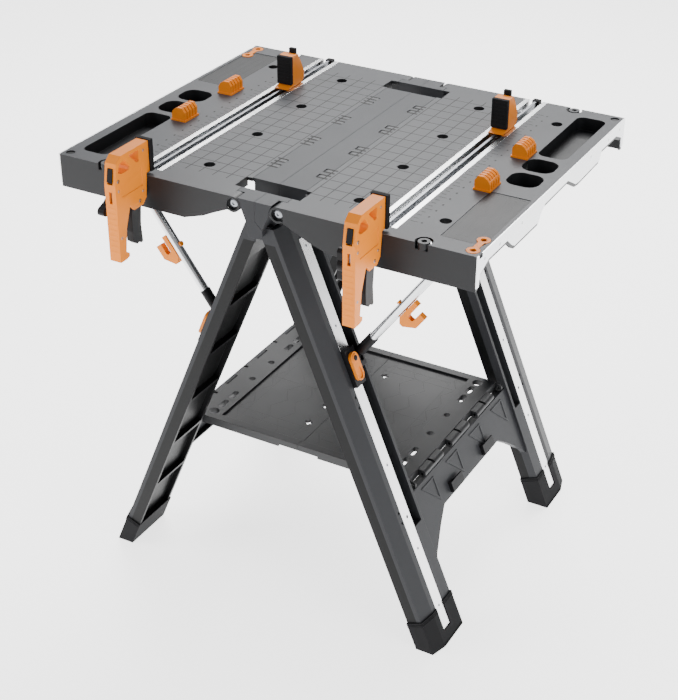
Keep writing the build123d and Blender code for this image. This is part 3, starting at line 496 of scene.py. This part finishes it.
for side, sign in sides.items():
    for end, way in ends.items():
        placeCap("hingeCap_%s_%s" % (side, end), (sign * 0.042, way * 0.3115, 0.799), (0, way, 0), "leg_" + side,
                 1.0, "steel_bar")
        # rivet through the lever of the sliding carriage
        x, z = onLeg(0.0381 + 0.0164, -0.26974 + 0.008, sign)
        placeCap("leverRivet_%s_%s" % (side, end), (x, way * 0.249, z), (sign * cos(lean), 0, sin(lean)),
                 "lock_%s_%s" % (end, side), 0.62, "black_plastic")
    # pins of the clamp trigger and its release lever
    for k, (y, z) in enumerate(((-0.340, 0.776), (-0.3945, 0.831))):
        placeCap("clampPin_%s_%d" % (side, k), (sign * 0.2206 + 0.0105, y, z), (1, 0, 0), "clamp_" + side, 0.42,
                 "steel_bar")
        placeCap("clampPinIn_%s_%d" % (side, k), (sign * 0.2206 - 0.0105, y, z), (-1, 0, 0), "clamp_" + side, 0.42,
                 "steel_bar")
    placeCap("knobCap_" + side, (sign * 0.2206 - 0.0338, -0.372, 0.775), (-1, 0, 0), "knob_body_" + side, 0.7,
             "black_plastic")
print("caps placed")

# ridges across the rubber faces of the clamp pads
padRidge = {"count": 7, "start": 0.8265, "pitch": 0.0068, "width": 0.0262, "height": 0.0030, "proud": 0.0007}
for side, sign in sides.items():
    for k in range(padRidge["count"]):
        z = padRidge["start"] + k * padRidge["pitch"]
        for label, y, body, way in (("nearRidge", -0.3010, "clamp_", 1.0), ("farRidge", 0.1425, "clamp_bar_", -1.0)):
            freshStart()
            bpy.ops.mesh.primitive_cube_add(size=1, location=(sign * 0.2206, y - way * 0.0004, z),
                                            scale=(padRidge["width"], 0.0014, padRidge["height"]))
            obj = bpy.context.object
            bpy.ops.object.transform_apply(location=False, rotation=False, scale=True)
            pickFaces(obj, lambda face, way=way: face.normal.y * way > 0.9)
            bpy.ops.mesh.inset(thickness=0.0008)
            bpy.ops.transform.translate(value=(0, way * 0.0004, 0))
            bpy.ops.object.mode_set(mode="OBJECT")
            finishPiece(obj, "%s_%s_%d" % (label, side, k), body + side,
                        finishes["rubber_black"], 0.0004)
print("pad ridges placed")

# lips and floors that close the small trays and the joining sockets
def placeBlock(name, low, high, body, look):
    freshStart()
    bpy.ops.mesh.primitive_cube_add(size=1, location=[(a + b) / 2 for a, b in zip(low, high)],
                                    scale=[abs(b - a) for a, b in zip(low, high)])
    obj = bpy.context.object
    bpy.ops.object.transform_apply(location=False, rotation=False, scale=True)
    finishPiece(obj, name, body, finishes[look], 0.0003)


for side, sign in sides.items():
    y0, y1 = sorted((sign * -0.0530, sign * 0.0700))
    placeBlock("trayLip_" + side, (sign * 0.3120, y0, 0.7865), (sign * 0.3144, y1, 0.8070), "top_" + side,
               "frame_plastic")
    placeBlock("trayEdge_" + side, (sign * 0.3120, y0, 0.7862), (sign * 0.3164, y1, 0.7888), "top_" + side,
               "frame_plastic")
    for end, way in ends.items():
        y0, y1 = sorted((way * 0.2905, way * 0.3140))
        placeBlock("socketFloor_%s_%s" % (side, end), (sign * 0.299 - 0.017, y0, 0.7985),
                   (sign * 0.299 + 0.017, y1, 0.8008), "top_" + side, "black_plastic")
print("lips and socket floors placed")

# finger ribs on the front of each trigger
fingerRib = {"count": 8, "start": 0.768, "pitch": 0.0075}
for side, sign in sides.items():
    for k in range(fingerRib["count"]):
        z = fingerRib["start"] - k * fingerRib["pitch"]
        freshStart()
        bpy.ops.mesh.primitive_cylinder_add(vertices=16, radius=0.0013, depth=0.0110,
                                            location=(sign * 0.2206, -0.3348 - 0.0012 * (z - 0.73) / 0.03, z),
                                            rotation=(0, pi / 2, 0))
        obj = bpy.context.object
        bpy.ops.object.transform_apply(location=False, rotation=True, scale=True)
        pickFaces(obj, lambda face: abs(face.normal.x) > 0.9)
        bpy.ops.mesh.inset(thickness=0.0004)
        bpy.ops.object.mode_set(mode="OBJECT")
        finishPiece(obj, "fingerRib_%s_%d" % (side, k), "trigger_body_" + side,
                    finishes["black_plastic"], 0.0003)
print("finger ribs placed")

# camera, lights and floor
eye = Vector((1.1844, -2.16248, 1.83485))
ahead = Vector((-0.41864, 0.75158, -0.50979)).normalized()
roll = 0.00444
rightward = ahead.cross(Vector((0, 0, 1))).normalized()
upward = rightward.cross(ahead).normalized()
rolledRight = rightward * cos(roll) + upward * sin(roll)
rolledUp = upward * cos(roll) - rightward * sin(roll)
camData = bpy.data.cameras.new("studioCamera")
cam = bpy.data.objects.new("studioCamera", camData)
bpy.context.scene.collection.objects.link(cam)
cam.matrix_world = Matrix.Translation(eye) @ Matrix((rolledRight, rolledUp, -ahead)).transposed().to_4x4()
camData.sensor_fit = "VERTICAL"
camData.sensor_height = 36.0
camData.lens = 77.25
camData.clip_end = 60
bpy.context.scene.camera = cam

lights = {
    "overheadBack": {"at": (-0.8, 2.2, 3.2), "aim": (0, 0, 0.7), "size": 2.4, "watts": 190},
    "leftFront": {"at": (-2.6, -1.8, 2.2), "aim": (0, 0, 0.5), "size": 1.8, "watts": 60},
    "rightFill": {"at": (2.8, -0.6, 1.6), "aim": (0, 0, 0.5), "size": 1.6, "watts": 38},
}
for name, v in lights.items():
    data = bpy.data.lights.new(name, "AREA")
    data.shape = "SQUARE"
    data.size = v["size"]
    data.energy = v["watts"]
    lamp = bpy.data.objects.new(name, data)
    lamp.location = v["at"]
    lamp.rotation_euler = (Vector(v["aim"]) - Vector(v["at"])).to_track_quat("-Z", "Y").to_euler()
    bpy.context.scene.collection.objects.link(lamp)
world = bpy.data.worlds.new("studio")
world.use_nodes = True
world.node_tree.nodes["Background"].inputs[0].default_value = (1, 1, 1, 1)
world.node_tree.nodes["Background"].inputs[1].default_value = 0.45
bpy.context.scene.world = world

freshStart()
bpy.ops.mesh.primitive_plane_add(size=24, location=(0, 0, 0))
floor = bpy.context.object
floor.name = "studioFloor"
f = Finish("studioFloor")
f.link(Base_Color=(0.93, 0.93, 0.93, 1), Roughness=0.6, Emission_Color=(1, 1, 1, 1), Emission_Strength=2.4)
floor.data.materials.append(f.material)
print("camera, lights and floor")

bpy.data.objects.remove(screwMaster)
bpy.data.objects.remove(capMaster)
